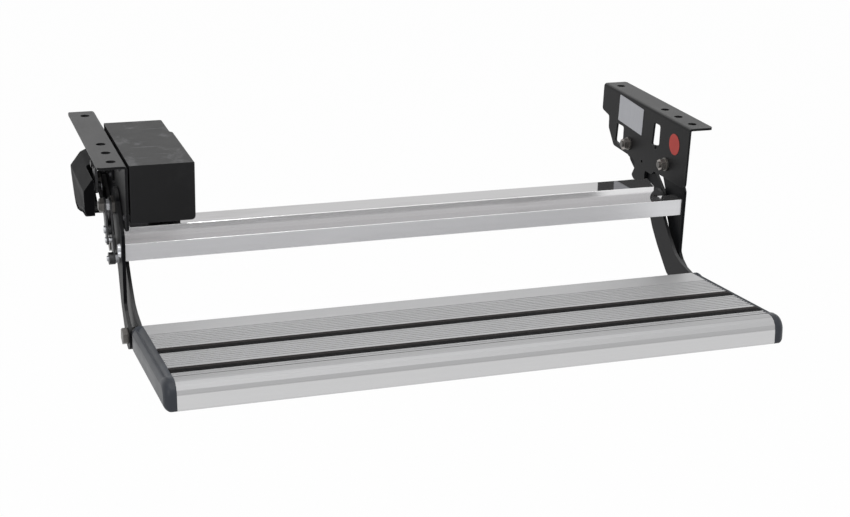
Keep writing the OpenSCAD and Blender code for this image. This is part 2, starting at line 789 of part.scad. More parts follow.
module tread() {
    half = carrier_in;
    grooves = [
        for (d = [smooth_band + rib_pitch / 2:rib_pitch:tread_d - nose_r - 2])
            if (!near_strip(d)) d
    ];
    color("silver") in_tread() difference() {
        layer(-half, half) difference() {
            polygon(tread_outline(0));
            for (d = grooves)
                translate([-d, -rib_depth]) square([rib_pitch * 0.55, rib_depth + 1]);
            channel(rear_strip_d);
            channel(front_strip_d);
            difference() {
                tread_chambers();
                for (d = tread_screw_d) disc([-d, -tread_screw_h], screw_d / 2 + 2);
            }
        }
        for (d = tread_screw_d, side = [-1, 1])
            rod(side > 0 ? half - screw_bite - 2 : -half - 1,
                side > 0 ? half + 1 : -half + screw_bite + 2,
                [-d, -tread_screw_h], screw_d / 2 + run_fit);
    }
}
module strip(d) {
    half = strip_w / 2;
    in_tread() layer(-carrier_in, carrier_in) translate([-d, 0]) {
        difference() {
            translate([-half, -strip_depth]) square([strip_w, strip_depth + strip_rise]);
            for (i = [1:3])
                translate([-half + i * strip_w / 4 - 0.5, strip_rise - 0.6]) square([1, 1]);
        }
        translate([-half - 1.5, -strip_depth]) square([strip_w + 3, strip_depth / 2]);
    }
}
module strip_rear() {
    color("#1b1b1b") strip(rear_strip_d);
}
module strip_front() {
    color("#1b1b1b") strip(front_strip_d);
}

// End cap: a moulded cap with a stepped face, a long groove and a pocket for the carrier
module end_cap() {
    outer = tread_w / 2;
    in_tread() difference() {
        union() {
            layer(carrier_in, outer - cap_step) polygon(tread_outline(0));
            layer(outer - cap_step, outer) polygon(tread_outline(cap_step));
        }
        layer(carrier_in - 1, carrier_out + layer_gap) polygon([
            [1, -2.6],
            [-foot_l - layer_gap, -2.6],
            [-foot_l - layer_gap, -tread_h + 3.6],
            [1, -tread_h + 3]
        ]);
        for (d = tread_screw_d)
            rod(carrier_in - 1, carrier_out + 3.2, [-d, -tread_screw_h], 5.2);
        layer(outer - cap_groove, outer + 1) polygon(rounded([
            [-5, -tread_h * 0.24, 0],
            [-tread_d + nose_r * 0.7, -tread_h * 0.24, 0],
            [-tread_d + nose_r * 0.7, -tread_h * 0.33, 0],
            [-5, -tread_h * 0.33, 0]
        ]));
    }
}
module end_cap_right() {
    color("#343a44") end_cap();
}
module end_cap_left() {
    color("#343a44") on_left() end_cap();
}
module tread_screws() {
    color("silver") both_sides() in_tread() for (d = tread_screw_d)
        screw(carrier_out, arm_t + screw_bite, [-d, -tread_screw_h], screw_d, 4.6, 2.6);
}

// Tread pivots: a bolt through arm, spacer and carrier at each end
module tread_pivot_bolts() {
    color("lightslategray") both_sides() {
        hexagon(head_in, head_in + 6, tread_pivot, head_af - 2);
        rod(carrier_out + 4.1, head_in, tread_pivot, shoulder_d / 2);
        rod(carrier_in - 8.5, carrier_out + 4.1, tread_pivot, bolt_d / 2);
    }
}
module tread_pivot_spacers() {
    color("silver") both_sides()
        ring(carrier_out, carrier_out + 4.1, tread_pivot, 9, bolt_d / 2);
}
module lock_nut(at) {
    difference() {
        hexagon(carrier_in - 6.5, carrier_in, at, nut_af);
        rod(carrier_in - 7, carrier_in + 1, at, bolt_d / 2);
    }
}
module tread_pivot_nuts() {
    color("silver") both_sides() lock_nut(tread_pivot);
}

// Coupler pivot, in two halves that face each other across a thin gap
module coupler_studs() {
    color("lightslategray") both_sides() {
        rod(carrier_in - 8, carrier_out, coupler, bolt_d / 2);
        rod(carrier_out, arm_in - seat_gap, coupler, 8);
    }
}
module coupler_nuts() {
    color("silver") both_sides() lock_nut(coupler);
}
module rear_link() {
    bulge = beside(rear_pivot, coupler, 0.76, link_half);
    hollow = beside(rear_pivot, coupler, 0.76, -link_half);
    shoulder = beside(rear_pivot, coupler, 0.08, link_half - 1);
    elbow = beside(rear_pivot, coupler, 0.08, 1 - link_half);
    difference() {
        layer(arm_in, arm_out) {
            disc(rear_pivot, link_end_r + 1.5);
            disc(coupler, link_end_r);
            polygon(rounded([
                [rear_pivot.x, rear_pivot.y, 0],
                [shoulder.x, shoulder.y, 6],
                [bulge.x, bulge.y, 12],
                [beside(rear_pivot, coupler, 1, link_end_r).x,
                    beside(rear_pivot, coupler, 1, link_end_r).y, 0],
                [beside(rear_pivot, coupler, 1, -link_end_r).x,
                    beside(rear_pivot, coupler, 1, -link_end_r).y, 0],
                [hollow.x, hollow.y, 12],
                [elbow.x, elbow.y, 6]
            ]));
        }
        rod(arm_in - 1, arm_out + 1, rear_pivot, bush_d / 2);
        rod(arm_in - 1, arm_out + 1, coupler, bolt_d / 2 + run_fit);
    }
}
module rear_link_right() {
    color("#303134") rear_link();
}
module rear_link_left() {
    color("#303134") on_left() rear_link();
}
module rear_link_bushes() {
    color("goldenrod") both_sides() bush(rear_pivot);
}
module rear_link_pins() {
    color("lightslategray") both_sides() {
        rod(arm_in, arm_out, coupler, bolt_d / 2);
        hexagon(arm_out, arm_out + 5, coupler, nut_af);
    }
}

// Drive: the output shaft turns a crank, whose pin pulls the rod to the drive lever
module drive_crank() {
    color("#3a3b3e") on_left() difference() {
        layer(lever_in, lever_out + 1) bar_2d(shaft, crank_end, 11, 7.5);
        rod(lever_in - 1, lever_out + 2, shaft, shaft_d / 2);
        rod(lever_in - 1, lever_out + 2, crank_end, 3);
    }
}
module output_shaft() {
    color("silver") on_left() {
        rod(plate_in - 19, lever_out + 2, shaft, shaft_d / 2);
        rod(lever_out + 2, lever_out + 4, shaft, shaft_d / 2 - 2);
    }
}
module crank_pin() {
    color("silver") on_left() {
        rod(rod_in - 1.5, lever_out + 1, crank_end, 3);
        rod(lever_out + 1, lever_out + 3, crank_end, 4.5);
    }
}
module drive_rod() {
    color("whitesmoke") on_left() difference() {
        layer(rod_in, rod_out) {
            bar_2d(crank_end, lever_end, rod_w / 2, rod_w / 2);
            disc(crank_end, 6.5);
            disc(lever_end, 6.5);
        }
        for (p = [crank_end, lever_end]) rod(rod_in - 1, rod_out + 1, p, 3 + run_fit);
    }
}
module rod_clips() {
    color("whitesmoke") on_left() ring(rod_in - 1.2, rod_in - 0.2, crank_end, 5.5, 3);
}

bracket_left();
bracket_right();
motor_cover();
gearbox();
motor_can();
shaft_bearing();
linkage_cover();
cover_screws();
gearbox_screws();
guard_screws();
pivot_bolts();
drive_pivot_bolt();
pivot_nuts();
pivot_washers();
thrust_washers();
front_arm_left();
front_arm_right();
front_arm_bushes();
tread_pivot_bushes();
crossbar();
crossbar_screws();
lever_strap();
drive_lever();
lever_spacer();
lever_pin();
lever_rivet();
strap_bolt();
strap_knob();
carrier_left();
carrier_right();
tread();
strip_rear();
strip_front();
end_cap_left();
end_cap_right();
tread_screws();
tread_pivot_bolts();
tread_pivot_spacers();
tread_pivot_nuts();
coupler_studs();
coupler_nuts();
rear_link_left();
rear_link_right();
rear_link_bushes();
rear_link_pins();
drive_crank();
output_shaft();
crank_pin();
drive_rod();
rod_clips();
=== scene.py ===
import math

import bmesh
import bpy
from mathutils import Matrix, Vector


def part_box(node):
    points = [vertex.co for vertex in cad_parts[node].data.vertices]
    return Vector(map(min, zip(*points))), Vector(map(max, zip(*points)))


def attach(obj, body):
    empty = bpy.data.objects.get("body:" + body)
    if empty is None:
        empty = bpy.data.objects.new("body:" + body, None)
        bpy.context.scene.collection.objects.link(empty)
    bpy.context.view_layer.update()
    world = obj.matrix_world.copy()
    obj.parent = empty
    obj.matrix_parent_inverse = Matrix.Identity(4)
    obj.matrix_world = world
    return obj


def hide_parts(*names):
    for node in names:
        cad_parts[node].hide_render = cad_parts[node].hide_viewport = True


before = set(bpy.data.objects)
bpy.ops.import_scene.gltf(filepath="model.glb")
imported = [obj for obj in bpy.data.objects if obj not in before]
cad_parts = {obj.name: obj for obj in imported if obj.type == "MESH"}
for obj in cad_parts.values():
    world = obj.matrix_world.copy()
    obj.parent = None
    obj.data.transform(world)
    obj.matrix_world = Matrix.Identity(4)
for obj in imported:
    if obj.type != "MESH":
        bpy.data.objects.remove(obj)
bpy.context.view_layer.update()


# Side brackets
# Two folded sheet-steel brackets carry the whole step. Each is laser-cut, folded once
# and coated with a fine satin black powder that shows a slight orange peel.
class Wire:
    """One output of a shader node; sums and products of wires add Math nodes."""

    def __init__(self, finish, socket):
        self.finish = finish
        self.socket = socket

    def __add__(self, other):
        return self.finish.maths("ADD", self, other)

    def __radd__(self, other):
        return self.finish.maths("ADD", other, self)

    def __sub__(self, other):
        return self.finish.maths("SUBTRACT", self, other)

    def __rsub__(self, other):
        return self.finish.maths("SUBTRACT", other, self)

    def __mul__(self, other):
        return self.finish.maths("MULTIPLY", self, other)

    def __rmul__(self, other):
        return self.finish.maths("MULTIPLY", other, self)


class Finish:
    """A surface finish: one Principled shader, fed by wires."""

    def __init__(self, name, metallic=0.0, specular=0.5):
        self.material = bpy.data.materials.new(name)
        self.material.use_nodes = True
        self.tree = self.material.node_tree
        self.tree.nodes.clear()
        self.shader = self.tree.nodes.new("ShaderNodeBsdfPrincipled")
        output = self.tree.nodes.new("ShaderNodeOutputMaterial")
        self.tree.links.new(self.shader.outputs[0], output.inputs[0])
        self.shader.inputs["Metallic"].default_value = metallic
        self.shader.inputs["Specular IOR Level"].default_value = specular

    def feed(self, socket, value):
        """Links a wire to a socket, or sets a plain value or colour on it."""
        if isinstance(value, Wire):
            self.tree.links.new(value.socket, socket)
        elif socket.type == "RGBA":
            socket.default_value = (*value, 1)
        else:
            socket.default_value = value

    def node(self, kind, settings=None, output=0, **inputs):
        """Adds a node. An input goes by its socket's name, or by its number after a _."""
        made = self.tree.nodes.new(kind)
        for key, value in (settings or {}).items():
            setattr(made, key, value)
        for key, value in inputs.items():
            name = key.strip("_").replace("_", " ")
            self.feed(made.inputs[int(name) if name.isdigit() else name], value)
        return Wire(self, made.outputs[output])

    def maths(self, operation, first, second):
        return self.node("ShaderNodeMath", {"operation": operation}, _0=first, _1=second)

    def place(self, stretch):
        """Object coordinates in metres, multiplied by stretch."""
        spot = self.node("ShaderNodeTexCoord", output="Object")
        return self.node("ShaderNodeVectorMath", {"operation": "MULTIPLY"}, _0=spot, _1=stretch)

    def noise(self, scale, detail=2.0, stretch=(1, 1, 1), roughness=0.5):
        return self.node(
            "ShaderNodeTexNoise", Vector=self.place(stretch), Scale=scale,
            Detail=detail, Roughness=roughness)

    def step(self, wire, low, high):
        """0 below low, 1 above high, and smooth between."""
        return self.node(
            "ShaderNodeMapRange", {"interpolation_type": "SMOOTHSTEP"},
            Value=wire, From_Min=low, From_Max=high)

    def axis(self, letter, output="Object"):
        """One part of the object coordinates in metres, or of the normal."""
        spot = self.node("ShaderNodeTexCoord", output=output)
        return self.node("ShaderNodeSeparateXYZ", output=letter, Vector=spot)

    def upward(self):
        """1 on faces that look up, and 0 elsewhere."""
        return self.step(self.axis("Z", output="Normal"), 0.5, 0.95)

    def blend(self, amount, shade_a, shade_b):
        """The first shade where the amount is 0, and the second where it is 1."""
        return self.node(
            "ShaderNodeMix", {"data_type": "RGBA"}, output=2, _0=amount, _6=shade_a, _7=shade_b)

    def rims(self, radius):
        """1 close to the piece's sharp edges and 0 on its faces."""
        eased = self.node("ShaderNodeBevel", {"samples": 4}, Radius=radius)
        flat = self.node("ShaderNodeNewGeometry", output="Normal")
        likeness = self.node(
            "ShaderNodeVectorMath", {"operation": "DOT_PRODUCT"}, output="Value",
            _0=eased, _1=flat)
        return 1 - self.step(likeness, 0.80, 0.985)

    def wear(self, colour, roughness, height=None, depth=0.0001, strength=1.0, eased=None):
        """Puts the colour, the roughness and a height in metres on the shader."""
        self.feed(self.shader.inputs["Base Color"], colour)
        self.feed(self.shader.inputs["Roughness"], roughness)
        if height is not None:
            under = {"Normal": eased} if eased else {}
            bump = self.node(
                "ShaderNodeBump", Height=height, Distance=depth, Strength=strength, **under)
            self.feed(self.shader.inputs["Normal"], bump)
        return self


def dress(finish, *nodes):
    """Gives CAD nodes their finish, in the material slots that they have."""
    for name in nodes:
        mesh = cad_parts[name].data
        for slot in range(len(mesh.materials)):
            mesh.materials[slot] = finish.material


def powder_coat(name, shade, scuffed, sheen, edge_wear_and_highlight):
    """Black powder coat: scuffed dust, paler tops (dust, painted light), pale edges (wear,
    painted highlight).
    """
    coat = Finish(name, specular=sheen)
    peel = coat.noise(1400)
    cloud = coat.noise(14, detail=3)
    dust = coat.step(coat.noise(260, detail=4, roughness=0.7), 0.60, 0.75) * scuffed
    streaks = coat.noise(45, detail=4, stretch=(1, 0.4, 1), roughness=0.6)
    lighter = tuple(1.5 * part + 0.001 for part in shade)
    dusty = tuple(2.2 * part + 0.015 for part in shade)
    dusty_lit_top = tuple(part + 0.080 for part in shade)
    worn_lit_edge = (0.10, 0.105, 0.11)
    colour = coat.blend(cloud, shade, lighter)
    colour = coat.blend(dust * coat.step(cloud, 0.45, 0.65), colour, dusty)
    # Upward faces are drawn lighter: a dust film that also paints the light falling on top.
    colour = coat.blend(coat.upward() * (0.55 + 0.45 * streaks), colour, dusty_lit_top)
    # The edges are drawn pale: rubbed wear together with a painted edge highlight.
    colour = coat.blend(coat.rims(0.0007) * edge_wear_and_highlight, colour, worn_lit_edge)
    return coat.wear(
        colour, 0.34 + 0.14 * cloud + 0.12 * dust, peel, depth=0.00006, strength=0.6)


bracket_coat = powder_coat(
    "satin_black_bracket", (0.0060, 0.0060, 0.0066), scuffed=0.35, sheen=0.09, edge_wear_and_highlight=0.45)
dress(bracket_coat, "bracket_left", "bracket_right")


# Rating plate and inspection disc
# A blank silver foil plate and a blank red disc are stuck to the inside of the right
# bracket. Both are thin self-adhesive foils, pressed flat, and the plate's corners are round.
inner_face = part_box("bracket_right")[0].x
foil_thickness = 0.0004
plate_y, plate_z = 0.0372, -0.0226
plate_length, plate_height = 0.0705, 0.035
plate_corner = 0.0015
plate_turn = math.radians(2.7)
disc_y, disc_z = -0.0875, -0.029
disc_radius = 0.0133
disc_edge = 0.00012


def into_mesh(name, shape, finish, body):
    """Turns a bmesh into a piece that rides on a body."""
    mesh = bpy.data.meshes.new(name)
    bmesh.ops.recalc_face_normals(shape, faces=shape.faces)
    shape.to_mesh(mesh)
    shape.free()
    piece = bpy.data.objects.new(name, mesh)
    bpy.context.scene.collection.objects.link(piece)
    mesh.materials.append(finish.material)
    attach(piece, body)
    return piece


plate = bmesh.new()
bmesh.ops.create_cube(plate, size=1)
bmesh.ops.scale(plate, verts=plate.verts, vec=(foil_thickness, plate_length, plate_height))
plate_corners = [
    edge for edge in plate.edges if abs(edge.verts[0].co.x - edge.verts[1].co.x) > 1e-6]
bmesh.ops.bevel(
    plate, geom=plate_corners, offset=plate_corner, affect="EDGES", segments=5, profile=0.5,
    material=-1)
bmesh.ops.rotate(plate, verts=plate.verts, matrix=Matrix.Rotation(plate_turn, 3, "X"))
bmesh.ops.translate(
    plate, verts=plate.verts, vec=(inner_face - foil_thickness / 2, plate_y, plate_z))
silver_foil = Finish("silver_foil", metallic=0.3, specular=0.25)
brushing = silver_foil.noise(60, detail=3, stretch=(1, 8, 1))
silver_foil.wear(
    silver_foil.blend(brushing, (0.36, 0.365, 0.39), (0.44, 0.445, 0.47)),
    0.38 + 0.1 * brushing, silver_foil.noise(500), depth=0.00002, strength=0.5)
into_mesh("rating_plate_blank", plate, silver_foil, "base")

disc = bmesh.new()
bmesh.ops.create_cone(
    disc, cap_ends=True, segments=64, radius1=disc_radius, radius2=disc_radius,
    depth=foil_thickness)
disc_rim = [edge for edge in disc.edges if abs(edge.verts[0].co.z - edge.verts[1].co.z) < 1e-6]
bmesh.ops.bevel(
    disc, geom=disc_rim, offset=disc_edge, affect="EDGES", segments=2, profile=0.5,
    material=-1)
bmesh.ops.rotate(disc, verts=disc.verts, matrix=Matrix.Rotation(math.radians(90), 3, "Y"))
bmesh.ops.translate(
    disc, verts=disc.verts, vec=(inner_face - foil_thickness / 2, disc_y, disc_z))
red_foil = Finish("red_foil", specular=0.12)
mottle = red_foil.noise(90, detail=3)
red_foil.wear(
    red_foil.blend(mottle, (0.40, 0.045, 0.040), (0.52, 0.075, 0.060)),
    0.42 + 0.1 * mottle, red_foil.noise(600), depth=0.00002, strength=0.5)
into_mesh("inspection_disc_blank", disc, red_foil, "base")


# Motor cover and linkage cover
# Both are injection-moulded in black plastic with a fine spark-eroded grain, and screwed
# to the left bracket. The motor cover has picked up pale handling marks on top.
def moulded_black(name, shade, marks, dust_and_light_on_top, sheen):
    """Grained black plastic with handling marks, and a dust film on top that also paints top
    light.
    """
    plastic = Finish(name, specular=sheen)
    grain = plastic.noise(1700, detail=3, roughness=0.6)
    cloud = plastic.noise(22, detail=4, roughness=0.6)
    smear = plastic.step(
        plastic.noise(34, detail=5, stretch=(1.0, 0.7, 1.0), roughness=0.65), 0.54, 0.72)
    scratch = plastic.step(
        plastic.noise(60, detail=3, stretch=(0.25, 2.2, 1.0), roughness=0.6), 0.64, 0.69)
    marked = (smear * 0.55 + scratch * 0.45) * marks
    top_dust_and_light = plastic.upward() * dust_and_light_on_top
    lighter = tuple(1.5 * part for part in shade)
    dusty_lit_top = tuple(part + 0.032 for part in shade)
    handling_mark = (0.20, 0.20, 0.21)
    worn_lit_edge = (0.09, 0.09, 0.095)
    colour = plastic.blend(cloud, shade, lighter)
    # Upward faces are drawn lighter: dust together with painted top light.
    colour = plastic.blend(top_dust_and_light, colour, dusty_lit_top)
    colour = plastic.blend(marked * (0.04 + 0.96 * top_dust_and_light), colour, handling_mark)
    # The edges are drawn pale: rubbed wear together with a painted edge highlight.
    colour = plastic.blend(plastic.rims(0.0009) * 0.35, colour, worn_lit_edge)
    return plastic.wear(
        colour, 0.44 + 0.16 * cloud - 0.10 * marked, grain, depth=0.00008, strength=0.7)


cover_plastic = moulded_black(
    "moulded_cover", (0.007, 0.007, 0.0075), marks=0.60, dust_and_light_on_top=1.0, sheen=0.16)
dress(cover_plastic, "motor_cover")

# The linkage cover keeps the shell of its node, but its lower edge is drawn as moulded:
# deepest over the crank, and cut off towards the rear.
guard_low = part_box("linkage_cover")[0]
lower_edge = [(-0.019, -0.088), (0.003, -0.090), (0.030, -0.097), (0.051, -0.101),
              (0.066, -0.099), (0.078, -0.092), (0.0945, -0.076)]
# How far the outer face is let out, up to a height above its lower edge
let_out = [(0.0015, 0.0045), (0.0035, 0.0025), (0.0110, 0.0014)]
edge_band = let_out[-1][0]
outer_band = 0.009
same_spot = 0.00001


def cut(shape, place, normal):
    """Splits the faces of a shape along a plane."""
    bmesh.ops.bisect_plane(
        shape, geom=shape.verts[:] + shape.edges[:] + shape.faces[:], dist=same_spot,
        plane_co=place, plane_no=normal)


def lower_by(y):
    """How far below the straight edge of the node the moulded edge lies at y."""
    for (y_a, z_a), (y_b, z_b) in zip(lower_edge, lower_edge[1:]):
        if y <= y_b:
            break
    return z_a + (z_b - z_a) * (y - y_a) / (y_b - y_a) - guard_low.z


guard = bmesh.new()
guard.from_mesh(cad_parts["linkage_cover"].data)
bmesh.ops.remove_doubles(guard, verts=guard.verts, dist=same_spot)
for y, _ in lower_edge[1:-1]:
    cut(guard, (0, y, 0), (0, 1, 0))
for vert in guard.verts:
    up = vert.co.z - guard_low.z
    if up < edge_band:
        if vert.co.x < guard_low.x + outer_band:
            vert.co.x -= next(out for height, out in let_out if up < height)
        vert.co.x = max(vert.co.x, guard_low.x)
        vert.co.z += lower_by(vert.co.y)
# The guard uses the cover's black plastic drawn darker: painted shade.
guard_plastic = moulded_black(
    "moulded_guard", (0.003, 0.003, 0.0035), marks=0.12, dust_and_light_on_top=0.08, sheen=0.05)
guard_piece = into_mesh(
    "linkage_cover_shell", guard, guard_plastic, "base")
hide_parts("linkage_cover")


# Gearmotor
# A black die-cast gearbox and a black motor can sit under the cover, with the
# output shaft running through a bearing boss on the outside of the left bracket.
def cast_alloy(name, shade):
    """A pitted die casting."""
    casting = Finish(name, metallic=0.8)
    pits = casting.noise(700, detail=4, roughness=0.7)
    cloud = casting.noise(30, detail=3)
    darker = tuple(0.75 * part for part in shade)
    return casting.wear(
        casting.blend(cloud, shade, darker), 0.42 + 0.2 * pits, pits, depth=0.0001, strength=0.6)


def plated_steel(name, shade, roughness):
    """Plated or blackened steel: cloudy, stained, and with fine turning marks."""
    plating = Finish(name, metallic=0.95)
    cloud = plating.noise(120, detail=3)
    turning = plating.noise(900, stretch=(6, 1, 1))
    stain = plating.step(plating.noise(260, detail=3), 0.55, 0.75)
    darker = tuple(0.62 * part for part in shade)
    colour = plating.blend(stain * 0.6, plating.blend(cloud, shade, darker), darker)
    return plating.wear(colour, roughness + 0.14 * cloud, turning, depth=0.00003, strength=0.5)


dress(cast_alloy("blackened_gearbox", (0.035, 0.035, 0.037)), "gearbox", "shaft_bearing")
dress(plated_steel("black_motor_coat", (0.04, 0.04, 0.042), 0.35), "motor_can")
blackened = plated_steel("blackened_screws", (0.045, 0.045, 0.048), 0.40)
dress(blackened, "cover_screws", "gearbox_screws", "guard_screws")


# Arms, rear links and carriers
# The moving arms are 4 mm plates, laser-cut and coated like the brackets, with their edges
# drawn a little pale by wear and a painted highlight. Bronze bushes are pressed into their
# bores.
arm_coat = powder_coat(
    "satin_black_arm", (0.003, 0.0032, 0.004), scuffed=0.4, sheen=0.05, edge_wear_and_highlight=0.1)
dress(arm_coat, "front_arm_left", "front_arm_right", "rear_link_left", "rear_link_right")
carrier_coat = powder_coat(
    "satin_black_carrier", (0.006, 0.006, 0.007), scuffed=0.4, sheen=0.10, edge_wear_and_highlight=0.3)
dress(carrier_coat, "carrier_left", "carrier_right")

bronze = Finish("sintered_bronze", metallic=0.9)
pores = bronze.noise(1500, detail=3)
bronze.wear(
    bronze.blend(pores, (0.50, 0.34, 0.14), (0.32, 0.21, 0.09)), 0.36 + 0.2 * pores,
    pores, depth=0.00004, strength=0.5)
dress(bronze, "front_arm_bushes", "tread_pivot_bushes", "rear_link_bushes")


# Crossbar
# A stepped aluminium extrusion, left bright from the die: a square tube in front and a
# shelf on a riser behind it. Long fine draw lines run along it, and zinc screws hold it.
tube_height = 0.020
riser_setback = 0.010
riser_fade = 0.003
corner_height = 0.004
edge_radius = 0.0012

bar_finish = Finish("bright_extrusion", metallic=0.92)
bar_finish.shader.inputs["Anisotropic"].default_value = 0.8
bar_finish.shader.inputs["Anisotropic Rotation"].default_value = 0.25
smooth_shaded_tops = bar_finish.upward()
bar_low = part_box("crossbar")[0]
riser_front = bar_low.y + riser_setback
corner_top = bar_low.z + tube_height + corner_height
riser = bar_finish.step(bar_finish.axis("Y"), riser_front, riser_front + riser_fade)
corner = riser * (
    1 - bar_finish.step(bar_finish.axis("Z"), corner_top, corner_top + riser_fade))
eased_edges = bar_finish.node(
    "ShaderNodeMix", {"data_type": "VECTOR"}, output=1, _0=corner,
    _4=bar_finish.node("ShaderNodeBevel", {"samples": 6}, Radius=edge_radius),
    _5=bar_finish.node("ShaderNodeNewGeometry", output="Normal"))
draw = bar_finish.noise(300, stretch=(0.008, 1, 1))
fine = bar_finish.noise(1500, stretch=(0.004, 1, 1))
cloud = bar_finish.noise(5, stretch=(0.8, 3, 3))
handled = bar_finish.step(bar_finish.noise(26, detail=3, stretch=(0.25, 1, 1)), 0.5, 0.8)
smudged = handled * bar_finish.maths("MAXIMUM", riser, smooth_shaded_tops) * 0.4
bar_colour = bar_finish.blend(draw, (0.67, 0.67, 0.685), (0.61, 0.61, 0.625))
bar_colour = bar_finish.blend(handled * 0.3, bar_colour, (0.60, 0.595, 0.61))
# The riser is drawn lighter than the tube's front: painted light.
bar_colour = bar_finish.blend(riser * 0.85, bar_colour, (0.78, 0.775, 0.78))
# Faces that look up are drawn darker: painted shade; their low roughness is real.
bar_colour = bar_finish.blend(smooth_shaded_tops, bar_colour, (0.48, 0.475, 0.48))
bar_colour = bar_finish.blend(smudged, bar_colour, (0.30, 0.29, 0.29))
# The edges are drawn white: a painted highlight where they catch the light.
bar_colour = bar_finish.blend(
    bar_finish.rims(edge_radius) * (1 - corner), bar_colour, (1.0, 1.0, 1.0))
matt_share = (1 - 0.75 * smooth_shaded_tops) * (1 - 0.68 * riser)
bar_finish.wear(
    bar_colour, (0.29 + 0.05 * draw + 0.08 * cloud + 0.06 * handled) * matt_share,
    (draw * 0.4 + fine * 0.6) * matt_share, depth=0.0001, strength=0.5, eased=eased_edges)
dress(bar_finish, "crossbar")
zinc = plated_steel("bright_zinc", (0.66, 0.67, 0.70), 0.24)
dress(zinc, "crossbar_screws")


# Drive levers and rod
# A strap and a short lever on the left arm form a fork for the drive rod. These, the
# crank and its pin are dark oiled steel. The fork's own pin, spacer, rivet and bolt and
# the clips of the rod are bright zinc.
oiled = plated_steel("oiled_steel", (0.075, 0.075, 0.078), 0.36)
dress(oiled, "lever_strap", "drive_lever", "strap_knob", "drive_crank", "drive_rod",
      "output_shaft", "crank_pin")
dress(zinc, "lever_spacer", "lever_pin", "lever_rivet", "strap_bolt", "rod_clips")


# Tread
# A hollow extrusion with a ribbed top and a faceted nose, etched and anodised silver.
# The die leaves fine lines along it, and grooves run along its nose, whose upper facets are
# painted darker in shade and lower facet painted lighter.
tread_tilt = math.radians(4.8)
tread_rear = Vector((0, -0.1655, -0.1705))
nose_grooves = (0.1795, 0.1855, 0.1915)
nose_start, nose_face, nose_fade = 0.184, 0.192, 0.004
fall_start, fall_fade = 0.012, 0.003
lip_groove, lip_groove_width = 0.0135, 0.0012

anodised = Finish("anodised_tread", metallic=0.6, specular=0.3)
forward = tread_rear.y - anodised.axis("Y")
down = tread_rear.z - anodised.axis("Z")
from_rear = forward * math.cos(tread_tilt) - down * math.sin(tread_tilt)
from_top = forward * math.sin(tread_tilt) + down * math.cos(tread_tilt)


def scored(across, place, width=0.0009):
    """A fine groove left by the die at a distance along the section."""
    gap = anodised.maths("ABSOLUTE", across - place, 0)
    return 1 - anodised.step(gap, 0.2 * width, width)


lip_line = scored(from_top, lip_groove, lip_groove_width) * anodised.step(
    from_rear, nose_face, nose_face + nose_fade)
nose_lines = sum((scored(from_rear, place) for place in nose_grooves), lip_line)
nose_area = anodised.step(from_rear, nose_start, nose_start + nose_fade)
fall = anodised.step(from_top, fall_start, fall_start + fall_fade)
die_lines = anodised.noise(700, detail=3, stretch=(0.006, 1, 1), roughness=0.6)
bloom = anodised.noise(7, detail=3, stretch=(0.5, 2, 2))
speck = anodised.noise(2300)
tread_colour = anodised.blend(die_lines, (0.53, 0.53, 0.535), (0.46, 0.46, 0.465))
tread_colour = anodised.blend(bloom * 0.3, tread_colour, (0.44, 0.44, 0.445))
# Painted shade on the nose's upper facets and painted light on its lower facet.
tread_colour = anodised.blend(nose_area * (1 - fall) * 0.8, tread_colour, (0.38, 0.38, 0.385))
tread_colour = anodised.blend(nose_area * fall * 0.6, tread_colour, (0.66, 0.66, 0.665))
# The grooves are also drawn darker: painted shade in them.
tread_colour = anodised.blend(nose_lines * 0.38, tread_colour, (0.20, 0.20, 0.205))
anodised.wear(
    tread_colour, 0.42 + 0.08 * die_lines + 0.06 * bloom,
    die_lines * 0.5 + speck * 0.2 - nose_lines * 3, depth=0.00006, strength=0.5)
dress(anodised, "tread")


# Rubber strips
# Two soft black strips are drawn into the channels of the tread and stand a little proud of the
# ribs, with a matt, faintly dusty skin. The rear half of each carries a painted highlight.
rubber = Finish("strip_rubber", specular=0.08)
skin = rubber.noise(1100, detail=3)
chalk = rubber.step(rubber.noise(45, detail=4, stretch=(0.2, 1, 1)), 0.5, 0.8)
rubber_y = rubber.axis("Y")


def rear_half(strip, fade=0.002):
    """1 on the rear half of a strip, and 0 in front of it and behind it."""
    low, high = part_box(strip)
    middle = 0.5 * (low.y + high.y)
    behind = rubber.step(rubber_y, high.y + fade, high.y + 2 * fade)
    return rubber.step(rubber_y, middle, middle + fade) * (1 - behind)


painted_rear_highlight = rear_half("strip_rear") + rear_half("strip_front")
rubber_colour = rubber.blend(chalk * 0.5, (0.0025, 0.0025, 0.0028), (0.008, 0.008, 0.0085))
# The rear half of each strip is drawn lighter: a painted highlight.
rubber_colour = rubber.blend(painted_rear_highlight, rubber_colour, (0.030, 0.026, 0.026))
rubber.wear(rubber_colour, 0.55 + 0.2 * skin, skin, depth=0.00008, strength=0.6)
dress(rubber, "strip_rear", "strip_front")


# End caps
# Moulded caps in a dark blue-grey plastic close the ends of the tread over the carriers,
# held by zinc screws. The face is smooth and semi-matt with faint handling marks.
cap_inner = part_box("end_cap_right")[0].x
cap_length, cap_height, cap_wall = 0.200, 0.031, 0.0011
nose_radius, toe_radius, heel_radius = 0.0145, 0.0025, 0.0015
trough_rear, trough_front, flat_front = -0.006, -0.172, -0.180
groove_top, groove_bottom, groove_depth = -0.24 * cap_height, -0.33 * cap_height, 0.0012
groove_front = trough_front - 0.005
sharp_angle = math.radians(16)
# Rings of the cap in metres: away from the tread, drawn in, and dipped in its trough
cap_rings = [
    (0, 0, 0), (0.0008, 0, 0.0001), (0.0040, 0, 0.0017), (0.0056, 0, 0.0029),
    (0.0068, 0.0001, 0.0028), (0.0080, 0.0004, 0.0017), (0.0096, 0.0013, 0.0013),
    (0.0112, 0.0027, 0.0012), (0.0123, 0.0043, 0.0010), (0.0130, 0.0062, 0.0008)]

